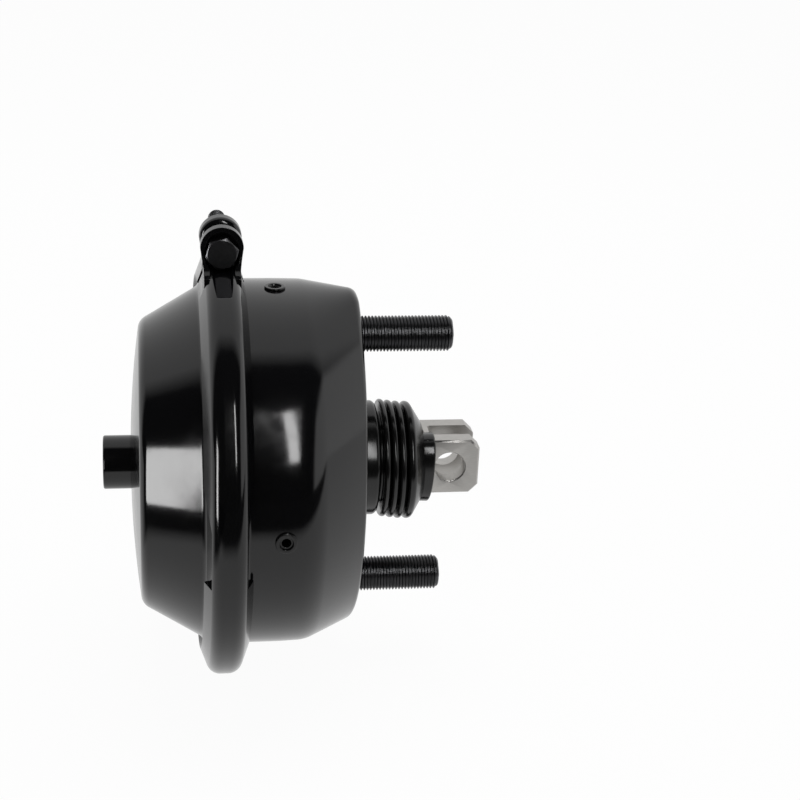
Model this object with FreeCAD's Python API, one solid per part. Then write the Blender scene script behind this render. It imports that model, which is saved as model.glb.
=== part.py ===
import FreeCAD, Part
import os
from math import atan2, cos, pi, radians, sin, sqrt, tan

# Air brake chamber of the size called 24, in millimetres.
# The origin is the centre of the mounting face. +X runs out along the push rod,
# +Z points to the clamp bolt, and the two mounting studs stand on the Z axis.

V = FreeCAD.Vector
X_AXIS = V(1, 0, 0)
Y_AXIS = V(0, 1, 0)
Z_AXIS = V(0, 0, 1)
ORIGIN = V(0, 0, 0)

# Sheet thicknesses
HOUSING_WALL = 3.0
CLAMP_WALL = 2.5
DIAPHRAGM_WALL = 3.0
BELLOWS_WALL = 1.4

# Where the housings meet, and the V flanges there
CLAMP_X = -60.0
V_ANGLE = 20.9
SEAT_GAP = 0.1
FLANGE_GAP = 1.8
FLANGE_BEND = 1.5

# Non-pressure housing
BODY_R = 81.9
TAPER_X = -24.0
FRONT_SHORTER = 1.4
FRONT_NARROWER = 25.9
FRONT_HALF_HEIGHT = BODY_R - FRONT_SHORTER
FRONT_HALF_WIDTH = BODY_R - FRONT_NARROWER
FRONT_TIP_R = 15.0
FRONT_CORNER = 4.5
TAPER_CREASE = 20.0
FRONT_JOIN = 15.0
BOOT_HOLE_R = 20.0
BOOT_SEAT_DEPTH = 0.4
VENT_X = -36.6
VENT_HOLE_R = 3.4

# Pressure housing
CAP_FACE_X = -99.7
CAP_FACE_INSET = 18.5
CAP_FACE_R = BODY_R - CAP_FACE_INSET
CAP_DOME = 4.3
CAP_CORNER = 6.5
CAP_CONE_ANGLE = 30.5
CAP_KNEE = 5.0
DOME_SHARE = 0.87

# Air port, M16 x 1.5
PORT_R = 12.0
PORT_LENGTH = 12.2
PORT_SEAT_DEPTH = 0.25
PORT_EDGE = 0.8
PORT_LEAD_IN = 1.2
PORT_BORE_R = 7.25
PORT_SPIGOT_R = 9.5

# Clamp ring
CLAMP_R = BODY_R + 13.4
CLAMP_WEB_HALF = 5.9
CLAMP_CORNER = 6.0
CLAMP_TIP_R = BODY_R + 1.2
CLAMP_GAP = 6.0
CLAMP_TIP_HALF = 14.0
RELIEF_R = CLAMP_R - 4.3
RELIEF_ABOVE = 6.0
RELIEF_BELOW = 11.0
RELIEF_TAPER = 10.0
FLANGE_R = CLAMP_R - CLAMP_WALL - FLANGE_GAP

# Clamp bolt, M8, and the ears round it
BOLT_Z = CLAMP_R + 5.4
EAR_TOP_Z = BOLT_Z + 11.6
EAR_WIDTH = 18.4
EAR_DEPTH = 6.8
EAR_RIM = 1.5
EAR_GUSSET_R = 8.0
EAR_BLOCK = 25.0
EAR_ROOT_DEPTH = 9.0
EAR_FOOT_SINK = 0.6
BOLT_R = 4.0
BOLT_LENGTH = 45.0
BOLT_HEAD_HEIGHT = 5.3
NUT_HEIGHT = 6.5
NUT_FIT = 0.05
HEX_M8 = 13.0
BOLT_HOLE_R = 4.5
HEX_TURN = 14.0
HEX_BEVEL = 0.4
BOLT_CHAMFER = 0.8

# Mounting studs, M16 x 1.5, 120.65 apart
STUD_INSET = 20.175
STUD_SPACING = 2 * (FRONT_HALF_HEIGHT - STUD_INSET)
STUD_R = 8.0
STUD_LENGTH = 42.5
STUD_CHAMFER = 1.4
STUD_HEAD_R = 11.5
STUD_HEAD_HEIGHT = 6.0
STUD_NECK_R = STUD_R + 0.25
STUD_NECK_END_X = 0.5
STUD_PLATE_THICKNESS = 5.0
STUD_PLATE_HALF_WIDTH = 22.0
STUD_PLATE_END_GAP = 8.5
STUD_PLATE_SIDE_GAP = 12.0
STUD_PLATE_END_Z = FRONT_HALF_HEIGHT - STUD_PLATE_END_GAP
STUD_PLATE_DISC_R = FRONT_HALF_WIDTH - STUD_PLATE_SIDE_GAP
STUD_PLATE_BORE_R = 25.0
STUD_HOLE_R = STUD_NECK_R + 0.15

# Push rod, plate and clevis
PLATE_R = 52.0
PLATE_WALL = 4.0
PLATE_LIP = 7.0
PLATE_BEND = 6.5
DIAPHRAGM_BEND = 8.0
DIAPHRAGM_FOOT = 9.0
BEAD_STEP = 1.0
BEAD_EDGE = 0.5
ROD_R = 8.0
FOOT_R = 14.5
FOOT_HEIGHT = 10.0
FOOT_WALL = 2.5
FOOT_FILLET = 3.0
FOOT_EDGE = 0.8
ROD_FIT = 0.1
CLEVIS_BACK_X = 22.0
CLEVIS_BLOCK_X = 32.3
CLEVIS_END_X = 56.7
CLEVIS_HOLE_X = 43.3
CLEVIS_HOLE_R = 7.0
CLEVIS_HEIGHT = 26.0
CLEVIS_WIDTH = 25.0
CLEVIS_SLOT = 10.0
CLEVIS_SLOT_ROOT_X = 34.7
CLEVIS_CHAMFER = 4.0
CLEVIS_EDGE = 0.8
CLEVIS_ROOT_R = 1.5
CLEVIS_SINK = 0.6
CLEVIS_BACK_CHAMFER = 1.0
CLEVIS_SHANK_R = 12.0
CLEVIS_SOCKET_DEPTH = 9.0

# Return spring and its seat
SPRING_WIRE_R = 2.7
SPRING_TURNS = 5
SPRING_SIDES = 8
SEAT_WALL = 2.0
SEAT_LIP = 5.0
SEAT_RIM_STEP = 0.5
SEAT_BEND = 2.5

# Rubber bellows
BELLOWS_BORE_R = 17.0
BELLOWS_CUFF_R = 25.8
BELLOWS_CUFF_END_X = 9.9
BELLOWS_CREST_R = 26.9
BELLOWS_VALLEY_R = 20.5
BELLOWS_CREST_WIDTH = 2.4
BELLOWS_PITCH = 3.65
BELLOWS_FOLDS = 3
BELLOWS_LAST_WIDTH = 4.4
BELLOWS_NECK_R = 14.9
BELLOWS_NECK_LENGTH = 4.2
BELLOWS_END_X = 31.7
BELLOWS_ROOT_R = 23.8
BELLOWS_EDGE = 0.5
BELLOWS_CUFF_BEND = 1.6
BELLOWS_SHOULDER = 2.5

# Breather plugs
PLUG_R = 4.6
PLUG_BORE_R = 2.4
PLUG_RISE = 1.0
PLUG_EDGE = 0.4
PLUG_SHANK = 6.0
PLUG_FIT = 0.1
BARB_RISE = 0.6
BARB_LENGTH = 1.6
PLUG_COUNT = 4

CLEARANCE = 0.35


def vec(x, r):
    """A point of a half section: x along the axis, r away from it."""
    return V(x, 0, r)


def unit(v):
    return V(v).normalize()


def offset_line(points, distance):
    """The same open line moved sideways, to its left for a positive distance."""
    lines = []
    for a, b in zip(points, points[1:]):
        d = unit(b - a)
        side = V(-d.z, 0, d.x) * distance
        lines.append((a + side, d))
    moved = [lines[0][0]]
    for (p, d), (q, e) in zip(lines, lines[1:]):
        cross = d.x * e.z - d.z * e.x
        gap = q - p
        along = (gap.x * e.z - gap.z * e.x) / cross
        moved.append(p + d * along)
    d = lines[-1][1]
    moved.append(points[-1] + V(-d.z, 0, d.x) * distance)
    return moved


def turn(points, i):
    """Positive where the line turns left at point i."""
    a = unit(points[i] - points[i - 1])
    b = unit(points[i + 1] - points[i])
    return a.x * b.z - a.z * b.x


def rounded(points, radii):
    """Edges of an open line whose inner corners are rounded by the given radii."""
    edges = []
    start = points[0]
    for i in range(1, len(points) - 1):
        corner = points[i]
        radius = radii[i - 1]
        back = unit(points[i - 1] - corner)
        ahead = unit(points[i + 1] - corner)
        half = back.getAngle(ahead) / 2
        run = radius / tan(half)
        if radius < 0.05 or run < 0.01:
            edges.append(Part.LineSegment(start, corner).toShape())
            start = corner
            continue
        first = corner + back * run
        last = corner + ahead * run
        middle = corner + unit(back + ahead) * (radius / sin(half) - radius)
        if (first - start).Length > 0.001:
            edges.append(Part.LineSegment(start, first).toShape())
        edges.append(Part.Arc(first, middle, last).toShape())
        start = last
    if (points[-1] - start).Length > 0.001:
        edges.append(Part.LineSegment(start, points[-1]).toShape())
    return edges


def sheet_face(points, radii, wall):
    """Section of a bent sheet: the given line, and a copy one wall to its left."""
    inner = offset_line(points, wall)
    inner_radii = []
    for i in range(1, len(points) - 1):
        change = -wall if turn(points, i) > 0 else wall
        inner_radii.append(max(radii[i - 1] + change, 0.0))
    edges = rounded(points, radii)
    edges.append(Part.LineSegment(points[-1], inner[-1]).toShape())
    edges += rounded(inner[::-1], inner_radii[::-1])
    edges.append(Part.LineSegment(inner[0], points[0]).toShape())
    return Part.Face(Part.Wire(Part.__sortEdges__(edges)))


def closed_face(points, radii):
    """A closed outline, each corner rounded by its own radius, starting mid-side."""
    middle = (points[0] + points[-1]) * 0.5
    loop = [middle] + list(points) + [middle]
    return Part.Face(Part.Wire(Part.__sortEdges__(rounded(loop, radii))))


def revolve(face, start=0.0, angle=360.0):
    """Turns a half section about the X axis, from start degrees after +Z."""
    placed = face.copy()
    placed.rotate(ORIGIN, X_AXIS, start)
    return placed.revolve(ORIGIN, X_AXIS, angle)


def rod(x0, x1, radius):
    """A plain round bar along X."""
    return Part.makeCylinder(radius, x1 - x0, V(x0, 0, 0), X_AXIS)


def hexagon(flats, height, base, axis, turned=0.0):
    """A hexagonal prism of the given width across flats."""
    corner_r = flats / sqrt(3)
    corners = []
    for i in range(7):
        a = radians(60 * i + turned)
        corners.append(V(corner_r * cos(a), corner_r * sin(a), 0))
    prism = Part.Face(Part.makePolygon(corners)).extrude(V(0, 0, height))
    prism.Placement = FreeCAD.Placement(base, FreeCAD.Rotation(Z_AXIS, axis))
    return prism


def flange_x(radius):
    """Outer face of a housing flange, measured from the clamp plane, at a radius."""
    lean = tan(radians(V_ANGLE))
    inner_web = CLAMP_WEB_HALF - CLAMP_WALL * cos(radians(V_ANGLE))
    inner_top = CLAMP_R - CLAMP_WALL * sin(radians(V_ANGLE))
    return inner_web + (inner_top - radius) * lean - SEAT_GAP / cos(radians(V_ANGLE))


def cap_line():
    """Outside of the pressure housing, from the flange edge to the domed end."""
    slope = tan(radians(CAP_CONE_ANGLE))
    lean = tan(radians(V_ANGLE))
    edge = vec(CLAMP_X - flange_x(FLANGE_R), FLANGE_R)
    # The cone runs from the corner of the end face and meets the flange line.
    corner = vec(CAP_FACE_X + CAP_DOME, CAP_FACE_R)
    reach = (edge.z - corner.z - (edge.x - corner.x) * slope) / (1 / lean - slope) * -1
    knee_x = edge.x + reach
    knee = vec(knee_x, corner.z + (knee_x - corner.x) * slope)
    return edge, knee, corner


def pressure_housing():
    edge, knee, corner = cap_line()
    # The dome is one arc, tangent to the end plane at the middle and met by the corner.
    dome_turn = vec(CAP_FACE_X, CAP_FACE_R / 2)
    dome_angle = atan2(CAP_DOME, CAP_FACE_R / 2)
    dome_r = DOME_SHARE * CAP_FACE_R / 2 / tan(dome_angle / 2)
    line = [edge, knee, corner, dome_turn, vec(CAP_FACE_X, 0)]
    shell = revolve(sheet_face(line, [CAP_KNEE, CAP_CORNER, dome_r], HOUSING_WALL))
    seat = rod(CAP_FACE_X - 1, CAP_FACE_X + PORT_SEAT_DEPTH, PORT_R)
    bore = rod(CAP_FACE_X - 1, CAP_FACE_X + HOUSING_WALL + CAP_DOME, PORT_SPIGOT_R)
    return shell.cut(seat).cut(bore)


def inlet_boss():
    seat_x = CAP_FACE_X + PORT_SEAT_DEPTH
    inner_x = CAP_FACE_X + HOUSING_WALL
    outer_x = CAP_FACE_X - PORT_LENGTH
    boss = rod(outer_x, seat_x, PORT_R)
    rim = [e for e in boss.Edges if abs(e.CenterOfMass.x - outer_x) < 0.01]
    boss = boss.makeFillet(PORT_EDGE, rim)
    spigot = rod(seat_x - 1, inner_x, PORT_SPIGOT_R)
    boss = boss.fuse(spigot).removeSplitter()
    boss = boss.cut(rod(outer_x - 1, inner_x + 1, PORT_BORE_R))
    lead_in = Part.makeCone(PORT_BORE_R + PORT_LEAD_IN, PORT_BORE_R, PORT_LEAD_IN, V(outer_x, 0, 0), X_AXIS)
    return boss.cut(lead_in)


def four_arcs(x, half_height, half_width, join_y, join_z):
    """Closed outline of two side arcs and two end arcs that join at (join_y, join_z)."""
    joins = [V(x, join_y, -join_z), V(x, join_y, join_z), V(x, -join_y, join_z), V(x, -join_y, -join_z)]
    middles = [V(x, half_width, 0), V(x, 0, half_height), V(x, -half_width, 0), V(x, 0, -half_height)]
    arcs = []
    for i in range(4):
        arcs.append(Part.Arc(joins[i - 1], middles[i - 1], joins[i]).toShape())
    return Part.Wire(arcs)


def front_form(radius, start_x, face_x, half_height, half_width, tip_r, corner, crease):
    """Bar that is round up to start_x, then narrows to an oval end at face_x."""
    rise = half_height - tip_r
    side_r = (rise ** 2 + half_width ** 2 - tip_r ** 2) / (2 * (half_width - tip_r))
    inset = side_r - half_width
    angle = atan2(rise, inset)
    # Both outlines are split in the same directions, so that the wall between them is even.
    round_end = four_arcs(start_x, radius, radius, radius * cos(angle), radius * sin(angle))
    oval_end = four_arcs(face_x, half_height, half_width, side_r * cos(angle) - inset, side_r * sin(angle))
    loft = Part.makeLoft([round_end, oval_end], True, True)
    end_edges = [e for e in loft.Edges if abs(e.BoundBox.XMin - face_x) < 0.01 and e.BoundBox.XLength < 0.02]
    loft = loft.makeFillet(corner, end_edges)
    form = loft.fuse(rod(CLAMP_X + FRONT_JOIN, start_x, radius))
    bend = [e for e in form.Edges if abs(e.BoundBox.XMin - start_x) < 0.01 and e.BoundBox.XLength < 0.02]
    return form.makeFillet(crease, bend)


def non_pressure_housing():
    wall = HOUSING_WALL
    lean = atan2(BODY_R - FRONT_HALF_WIDTH, -TAPER_X)
    inner_width = FRONT_HALF_WIDTH + wall * tan(lean) - wall / cos(lean)
    inner_start = TAPER_X - wall * tan(lean / 2)
    outer = front_form(BODY_R, TAPER_X, 0, FRONT_HALF_HEIGHT, FRONT_HALF_WIDTH,
                       FRONT_TIP_R, FRONT_CORNER, TAPER_CREASE)
    inner = front_form(BODY_R - wall, inner_start, -wall, FRONT_HALF_HEIGHT - wall,
                       inner_width, FRONT_TIP_R - wall, FRONT_CORNER - wall, TAPER_CREASE - wall)
    shell = outer.cut(inner)
    joint_x = CLAMP_X + FRONT_JOIN
    knee_x = CLAMP_X + flange_x(BODY_R)
    rim_line = [vec(joint_x, BODY_R), vec(knee_x, BODY_R), vec(CLAMP_X + flange_x(FLANGE_R), FLANGE_R)]
    rim = revolve(sheet_face(rim_line, [FLANGE_BEND], wall))
    shell = shell.fuse(rim)
    shell = shell.cut(rod(-wall - 1, 1, BOOT_HOLE_R))
    shell = shell.cut(rod(-BOOT_SEAT_DEPTH, 1, BELLOWS_CREST_R + CLEARANCE))
    for side in (1, -1):
        hole = rod(-wall - 1, 1, STUD_HOLE_R)
        hole.translate(V(0, 0, side * STUD_SPACING / 2))
        shell = shell.cut(hole)
    for i in range(PLUG_COUNT):
        hole = Part.makeCylinder(VENT_HOLE_R, 2 * PLUG_SHANK, V(VENT_X, 0, BODY_R - PLUG_SHANK), Z_AXIS)
        hole.rotate(ORIGIN, X_AXIS, 360.0 / PLUG_COUNT * i)
        shell = shell.cut(hole)
    return shell.removeSplitter()


def breather_plug(i):
    """Round push-in plug with an open middle, standing on the housing wall."""
    seat_z = BODY_R + PLUG_FIT / 2
    barb_z = BODY_R - HOUSING_WALL - BARB_LENGTH - PLUG_FIT
    head = Part.makeCylinder(PLUG_R, PLUG_RISE, V(0, 0, seat_z), Z_AXIS)
    top = [e for e in head.Edges if abs(e.CenterOfMass.z - seat_z - PLUG_RISE) < 0.01]
    head = head.makeChamfer(PLUG_EDGE, top)
    shank = Part.makeCylinder(VENT_HOLE_R - PLUG_FIT, PLUG_SHANK, V(0, 0, seat_z - PLUG_SHANK), Z_AXIS)
    barb = Part.makeCone(VENT_HOLE_R - PLUG_FIT, VENT_HOLE_R + BARB_RISE, BARB_LENGTH, V(0, 0, barb_z), Z_AXIS)
    bore = Part.makeCylinder(PLUG_BORE_R, 2 * PLUG_SHANK + PLUG_RISE, V(0, 0, BODY_R - PLUG_SHANK - 1), Z_AXIS)
    plug = head.fuse([shank, barb]).cut(bore).removeSplitter()
    plug.translate(V(VENT_X, 0, 0))
    plug.rotate(ORIGIN, X_AXIS, 360.0 / PLUG_COUNT * i)
    return plug


def diaphragm():
    """Rubber cup at rest against the pressure housing, its bead between the flanges."""
    edge, knee, corner = cap_line()
    gap = HOUSING_WALL + CLEARANCE
    outline = offset_line([edge, knee, corner], gap)
    slope = tan(radians(CAP_CONE_ANGLE))
    flat_x = diaphragm_x()
    foot = vec(flat_x, outline[1].z + (flat_x - outline[1].x) * slope)
    start = (outline[0] + outline[1]) * 0.5
    line = [start, outline[1], foot, vec(flat_x, 0)]
    cup = revolve(sheet_face(line, [DIAPHRAGM_BEND, DIAPHRAGM_FOOT], DIAPHRAGM_WALL))
    low_r = start.z - BEAD_STEP
    high_r = FLANGE_R - BEAD_EDGE
    bead = []
    for radius, side in ((low_r, -1), (high_r, -1), (high_r, 1), (low_r, 1)):
        half = flange_x(radius) - HOUSING_WALL / cos(radians(V_ANGLE)) - SEAT_GAP
        bead.append(vec(CLAMP_X + side * half, radius))
    ring = revolve(closed_face(bead, [BEAD_EDGE] * 4))
    return cup.fuse(ring).removeSplitter()


def diaphragm_x():
    """Back face of the flat middle of the diaphragm at rest."""
    return CAP_FACE_X + CAP_DOME + HOUSING_WALL


def plate_x():
    return diaphragm_x() + DIAPHRAGM_WALL + CLEARANCE


def push_plate():
    back = plate_x()
    line = [vec(back + PLATE_LIP, PLATE_R), vec(back, PLATE_R), vec(back, 0)]
    return revolve(sheet_face(line, [PLATE_BEND], PLATE_WALL))


def rod_foot():
    """Flared collar welded round the push rod where it stands on the plate."""
    base = plate_x() + PLATE_WALL
    collar_r = ROD_R + ROD_FIT
    line = [vec(base + FOOT_HEIGHT, collar_r + FOOT_WALL), vec(base + FOOT_WALL, collar_r + FOOT_WALL),
            vec(base + FOOT_WALL, FOOT_R), vec(base, FOOT_R), vec(base, collar_r),
            vec(base + FOOT_HEIGHT, collar_r)]
    return revolve(closed_face(line, [0, FOOT_FILLET, FOOT_EDGE, 0, 0, 0]))


def push_rod():
    return rod(plate_x() + PLATE_WALL, CLEVIS_BACK_X + CLEVIS_SOCKET_DEPTH - ROD_FIT, ROD_R)


def clevis():
    half_z = CLEVIS_HEIGHT / 2
    half_y = CLEVIS_WIDTH / 2
    c = CLEVIS_CHAMFER
    side = [V(CLEVIS_BLOCK_X, 0, -half_z), V(CLEVIS_END_X - c, 0, -half_z),
            V(CLEVIS_END_X, 0, -half_z + c), V(CLEVIS_END_X, 0, half_z - c),
            V(CLEVIS_END_X - c, 0, half_z), V(CLEVIS_BLOCK_X, 0, half_z),
            V(CLEVIS_BLOCK_X, 0, -half_z)]
    block = Part.Face(Part.makePolygon(side)).extrude(V(0, CLEVIS_WIDTH, 0))
    block.translate(V(0, -half_y, 0))
    long_edges = [e for e in block.Edges if abs(abs(e.CenterOfMass.y) - half_y) < 0.01]
    block = block.makeChamfer(CLEVIS_EDGE, long_edges)
    shank = rod(CLEVIS_BACK_X, CLEVIS_BLOCK_X + 1, CLEVIS_SHANK_R)
    back_rim = [e for e in shank.Edges if abs(e.CenterOfMass.x - CLEVIS_BACK_X) < 0.01]
    shank = shank.makeChamfer(CLEVIS_BACK_CHAMFER, back_rim)
    body = block.fuse(shank).removeSplitter()
    slot = Part.makeBox(CLEVIS_END_X, CLEVIS_SLOT, 2 * CLEVIS_HEIGHT,
                        V(CLEVIS_SLOT_ROOT_X, -CLEVIS_SLOT / 2, -CLEVIS_HEIGHT))
    root = [e for e in slot.Edges if abs(e.CenterOfMass.x - CLEVIS_SLOT_ROOT_X) < 0.01
            and abs(e.CenterOfMass.z) < 0.01]
    body = body.cut(slot.makeFillet(CLEVIS_ROOT_R, root))
    hole = Part.makeCylinder(CLEVIS_HOLE_R, CLEVIS_WIDTH + 2,
                             V(CLEVIS_HOLE_X, -half_y - 1, 0), Y_AXIS)
    body = body.cut(hole)
    for y, axis in ((-half_y, Y_AXIS), (half_y, V(0, -1, 0))):
        sink = Part.makeCone(CLEVIS_HOLE_R + CLEVIS_SINK, CLEVIS_HOLE_R, CLEVIS_SINK,
                             V(CLEVIS_HOLE_X, y, 0), axis)
        body = body.cut(sink)
    socket = rod(CLEVIS_BACK_X - 1, CLEVIS_BACK_X + CLEVIS_SOCKET_DEPTH, ROD_R + ROD_FIT / 2)
    return body.cut(socket)


def mounting_stud(side):
    """Stud that stands out of the mounting face, with its head behind the stud plate."""
    head_back = -HOUSING_WALL - STUD_PLATE_THICKNESS
    shank = rod(0, STUD_LENGTH, STUD_R)
    tip = [e for e in shank.Edges if abs(e.CenterOfMass.x - STUD_LENGTH) < 0.01]
    shank = shank.makeChamfer(STUD_CHAMFER, tip)
    neck = rod(head_back, STUD_NECK_END_X, STUD_NECK_R)
    head = rod(head_back - STUD_HEAD_HEIGHT, head_back, STUD_HEAD_R)
    stud = shank.fuse([neck, head]).removeSplitter()
    stud.translate(V(0, 0, side * STUD_SPACING / 2))
    return stud


def stud_plate():
    """Inner plate that carries both studs and backs the spring seat."""
    w = STUD_PLATE_HALF_WIDTH
    centre_z = STUD_PLATE_END_Z - w
    x0 = -HOUSING_WALL - STUD_PLATE_THICKNESS
    plate = Part.makeBox(STUD_PLATE_THICKNESS, 2 * w, 2 * centre_z, V(x0, -w, -centre_z))
    parts = [rod(x0, -HOUSING_WALL, STUD_PLATE_DISC_R)]
    for side in (1, -1):
        end = rod(x0, -HOUSING_WALL, w)
        end.translate(V(0, 0, side * centre_z))
        parts.append(end)
    plate = plate.fuse(parts).removeSplitter()
    plate = plate.cut(rod(x0 - 1, 1, STUD_PLATE_BORE_R))
    for side in (1, -1):
        hole = rod(x0 - 1, 1, STUD_HOLE_R)
        hole.translate(V(0, 0, side * STUD_SPACING / 2))
        plate = plate.cut(hole)
    return plate


def spring_seat():
    """Ring with a raised rim that centres the wide end of the return spring."""
    face_x = -HOUSING_WALL - STUD_PLATE_THICKNESS
    rim_r = STUD_PLATE_DISC_R - SEAT_RIM_STEP
    line = [vec(face_x - SEAT_LIP, rim_r), vec(face_x, rim_r), vec(face_x, STUD_PLATE_BORE_R + SEAT_RIM_STEP)]
    # The sheet lies on the chamber side of this line.
    return revolve(sheet_face(line[::-1], [SEAT_BEND], SEAT_WALL))


def return_spring():
    """Conical coil, narrow round the rod foot and wide in the seat, with a dead turn at each end."""
    wire_gap = SPRING_WIRE_R + CLEARANCE
    back = plate_x() + PLATE_WALL + wire_gap
    front = -HOUSING_WALL - STUD_PLATE_THICKNESS - SEAT_WALL - wire_gap
    back_r = FOOT_R + wire_gap
    front_r = STUD_PLATE_DISC_R - SEAT_RIM_STEP - SEAT_WALL - wire_gap
    dead = 2 * SPRING_WIRE_R + CLEARANCE
    # Each knot gives how far the wire has turned, its place along the axis and its radius.
    knots = [(0, back, back_r), (1, back + dead, back_r),
             (SPRING_TURNS + 1, front - dead, front_r), (SPRING_TURNS + 2, front, front_r)]
    points = []
    for (t0, x0, r0), (t1, x1, r1) in zip(knots, knots[1:]):
        steps = round((t1 - t0) * 12)
        for i in range(steps):
            s = i / steps
            a = 2 * pi * (t0 + (t1 - t0) * s)
            r = r0 + (r1 - r0) * s
            points.append(V(x0 + (x1 - x0) * s, r * sin(a), r * cos(a)))
    a = 2 * pi * knots[-1][0]
    points.append(V(front, front_r * sin(a), front_r * cos(a)))
    path = Part.BSplineCurve()
    path.interpolate(points)
    start = path.value(path.FirstParameter)
    heading = path.tangent(path.FirstParameter)[0]
    outward = Z_AXIS.cross(heading).normalize()
    level = heading.cross(outward)
    section = []
    for i in range(SPRING_SIDES + 1):
        a = 2 * pi * i / SPRING_SIDES
        section.append(start + outward * (SPRING_WIRE_R * cos(a)) + level * (SPRING_WIRE_R * sin(a)))
    return Part.Wire(path.toShape()).makePipeShell([Part.makePolygon(section)], True, True)


def clamp_line():
    """Outside of the clamp channel, from one flange tip to the other."""
    lean = tan(radians(V_ANGLE))
    tip_r = CLAMP_TIP_R + CLAMP_WALL * sin(radians(V_ANGLE))
    tip = CLAMP_WEB_HALF + (CLAMP_R - tip_r) * lean
    return [vec(CLAMP_X + tip, tip_r), vec(CLAMP_X + CLAMP_WEB_HALF, CLAMP_R),
            vec(CLAMP_X - CLAMP_WEB_HALF, CLAMP_R), vec(CLAMP_X - tip, tip_r)]


def upright_outline(half_width, top_z, bottom_z):
    """Arched outline in the XZ plane, centred on the clamp."""
    spring_z = top_z - half_width
    left = V(CLAMP_X - half_width, 0, spring_z)
    right = V(CLAMP_X + half_width, 0, spring_z)
    arch = Part.Arc(left, V(CLAMP_X, 0, top_z), right).toShape()
    lines = Part.makePolygon([right, V(right.x, 0, bottom_z), V(left.x, 0, bottom_z), left])
    return Part.Face(Part.Wire(Part.__sortEdges__([arch] + lines.Edges)))


def clamp_ear():
    """Dished ear on the -Y side of the clamp's gap."""
    half = EAR_WIDTH / 2
    gap_y = -CLAMP_GAP / 2
    floor_y = gap_y - CLAMP_WALL
    rim_y = gap_y - EAR_DEPTH
    low_z = CLAMP_R - EAR_ROOT_DEPTH
    block = upright_outline(half, EAR_TOP_Z, low_z).extrude(V(0, -EAR_BLOCK, 0))
    block.translate(V(0, gap_y, 0))
    # Seen along the clamp, the ear stands up straight and flares into the band.
    r = EAR_GUSSET_R
    foot_z = CLAMP_R - EAR_FOOT_SINK
    flare_top = V(0, rim_y, foot_z + r)
    flare_mid = V(0, rim_y - r * (1 - sqrt(0.5)), foot_z + r * (1 - sqrt(0.5)))
    flare_end = V(0, rim_y - r, foot_z)
    arc = Part.Arc(flare_top, flare_mid, flare_end).toShape()
    rest = Part.makePolygon([flare_end, V(0, rim_y + 2, low_z), V(0, gap_y, low_z),
                             V(0, gap_y, EAR_TOP_Z + 1), V(0, rim_y, EAR_TOP_Z + 1), flare_top])
    profile = Part.Face(Part.Wire(Part.__sortEdges__([arc] + rest.Edges)))
    profile = profile.extrude(V(EAR_WIDTH + 10, 0, 0))
    profile.translate(V(CLAMP_X - half - 5, 0, 0))
    ear = block.common(profile)
    hollow = upright_outline(half - EAR_RIM, EAR_TOP_Z - EAR_RIM, low_z).extrude(V(0, -EAR_BLOCK, 0))
    hollow.translate(V(0, floor_y, 0))
    hollow = hollow.cut(rod(CLAMP_X - EAR_WIDTH, CLAMP_X + EAR_WIDTH, CLAMP_R))
    # The band is dished below the bolt head and the nut.
    dish_r = HEX_M8 / sqrt(3) + CLEARANCE / 2
    dish = Part.makeCylinder(dish_r, NUT_HEIGHT + 1, V(CLAMP_X, floor_y, BOLT_Z), V(0, -1, 0))
    return ear, hollow.fuse(dish)


def relief_cut():
    """Where the clamp's flanges are cut away so that the band can be sprung open."""
    def at(radius, below):
        a = radians(below)
        return V(CLAMP_X - CLAMP_TIP_HALF, -radius * cos(a), -radius * sin(a))
    inner = CLAMP_TIP_R - CLAMP_WALL
    arc = Part.Arc(at(RELIEF_R, -RELIEF_ABOVE), at(RELIEF_R, 0), at(RELIEF_R, RELIEF_BELOW)).toShape()
    rest = Part.makePolygon([at(RELIEF_R, RELIEF_BELOW), at(inner, RELIEF_BELOW),
                             at(inner, -RELIEF_ABOVE - RELIEF_TAPER), at(RELIEF_R, -RELIEF_ABOVE)])
    face = Part.Face(Part.Wire(Part.__sortEdges__([arc] + rest.Edges)))
    return face.extrude(V(2 * CLAMP_TIP_HALF, 0, 0))


def clamp_ring():
    line = clamp_line()
    gap_angle = 180 / pi * atan2(CLAMP_GAP / 2, CLAMP_R)
    channel = sheet_face(line, [CLAMP_CORNER, CLAMP_CORNER], CLAMP_WALL)
    band = revolve(channel, gap_angle, 360 - 2 * gap_angle)
    inside = offset_line(line, CLAMP_WALL)
    core_line = [vec(inside[0].x, BODY_R / 2)] + inside + [vec(inside[-1].x, BODY_R / 2)]
    inner_corner = CLAMP_CORNER - CLAMP_WALL
    core = revolve(closed_face(core_line, [0, 0, inner_corner, inner_corner, 0, 0]))
    ear, hollow = clamp_ear()
    near = ear.cut(core)
    ring = band.fuse([near, near.mirror(ORIGIN, Y_AXIS)])
    ring = ring.cut(hollow).cut(hollow.mirror(ORIGIN, Y_AXIS))
    bolt_hole = Part.makeCylinder(BOLT_HOLE_R, 2 * EAR_BLOCK, V(CLAMP_X, -EAR_BLOCK, BOLT_Z), Y_AXIS)
    ring = ring.cut(bolt_hole)
    cut = relief_cut()
    ring = ring.cut(cut).cut(cut.mirror(ORIGIN, Y_AXIS))
    return ring.removeSplitter()


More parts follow.
